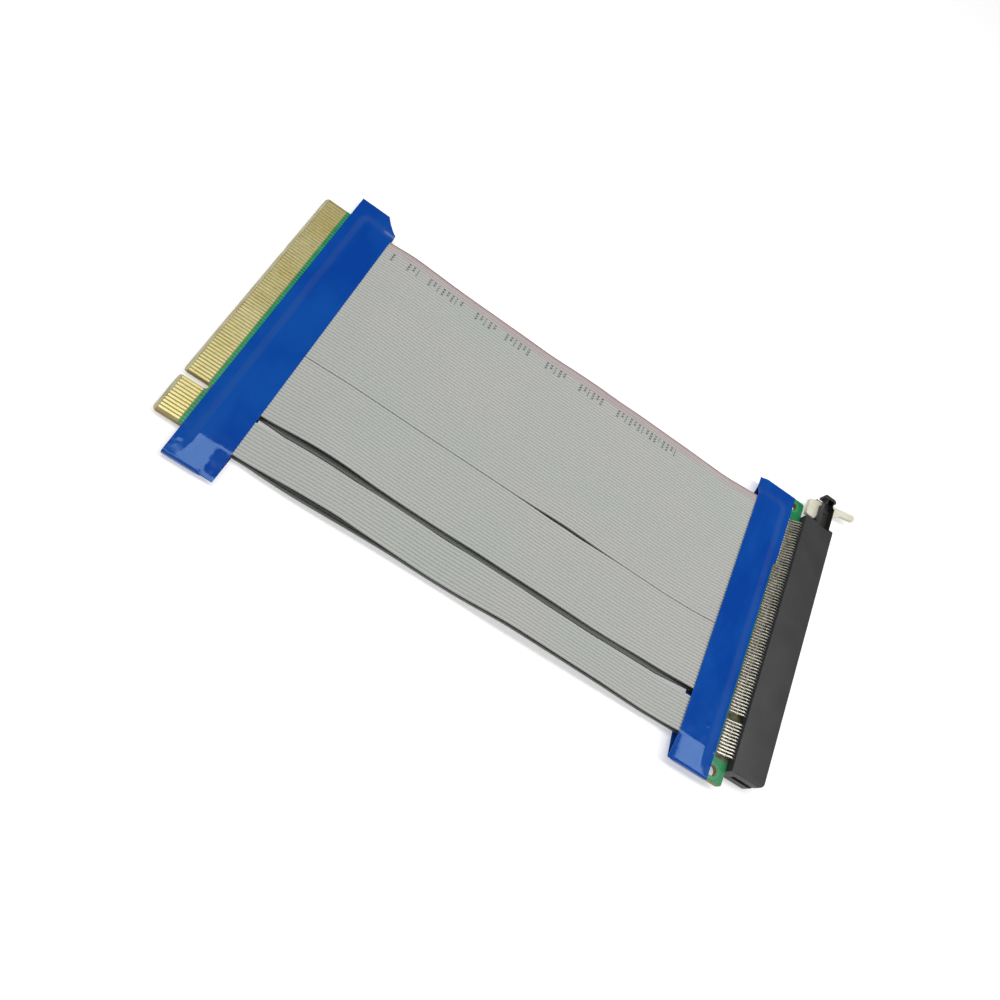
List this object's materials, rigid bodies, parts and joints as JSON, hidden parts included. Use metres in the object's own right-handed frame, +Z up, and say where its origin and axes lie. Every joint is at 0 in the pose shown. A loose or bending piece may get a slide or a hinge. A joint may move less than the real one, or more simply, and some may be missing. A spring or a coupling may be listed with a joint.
{
  "type": "riser cable with card edge and slot",
  "caption": "Flat flexible riser cable: a bevelled card edge at one end and a latching expansion slot at the other, joined by layered ribbon cables under tape.",
  "frame": {"origin": "under the middle of the whole cable, on the surface that its tape and slot housing lie on", "axes": "+X along the cable from the card edge to the slot, +Y along the slot from its key side to its latch, +Z up"},
  "size_m": [0.2002, 0.1102, 0.0085],
  "materials": {
    "circuit_board": "green solder mask",
    "gold_fingers": "gold plate",
    "contact_metal": "tin plate",
    "housing": "moulded, dark grey",
    "latch": "moulded, cream",
    "tape": "glossy film",
    "ribbon": "soft vinyl, light grey",
    "stripe": "printed red edge stripe"
  },
  "bodies": {
    "cable": {"card_edge_board": "circuit_board", "slot_board": "circuit_board", "slot_housing": "housing", "card_end_tape": "tape", "slot_end_tape": "tape", "upper_narrow_ribbon": "ribbon", "upper_middle_ribbon": "ribbon", "upper_wide_ribbon": "ribbon", "lower_narrow_ribbon": "ribbon", "lower_middle_ribbon": "ribbon", "lower_wide_ribbon": "ribbon"},
    "latch": {"card_latch": "latch"}
  },
  "joints": [
    {"name": "latch_pivot", "type": "hinge", "parent": "cable", "child": "latch", "pos_m": [0.08751, 0.04857, 0.00375], "axis": [0, 0, 1], "range_deg": [0, 25]}
  ]
}
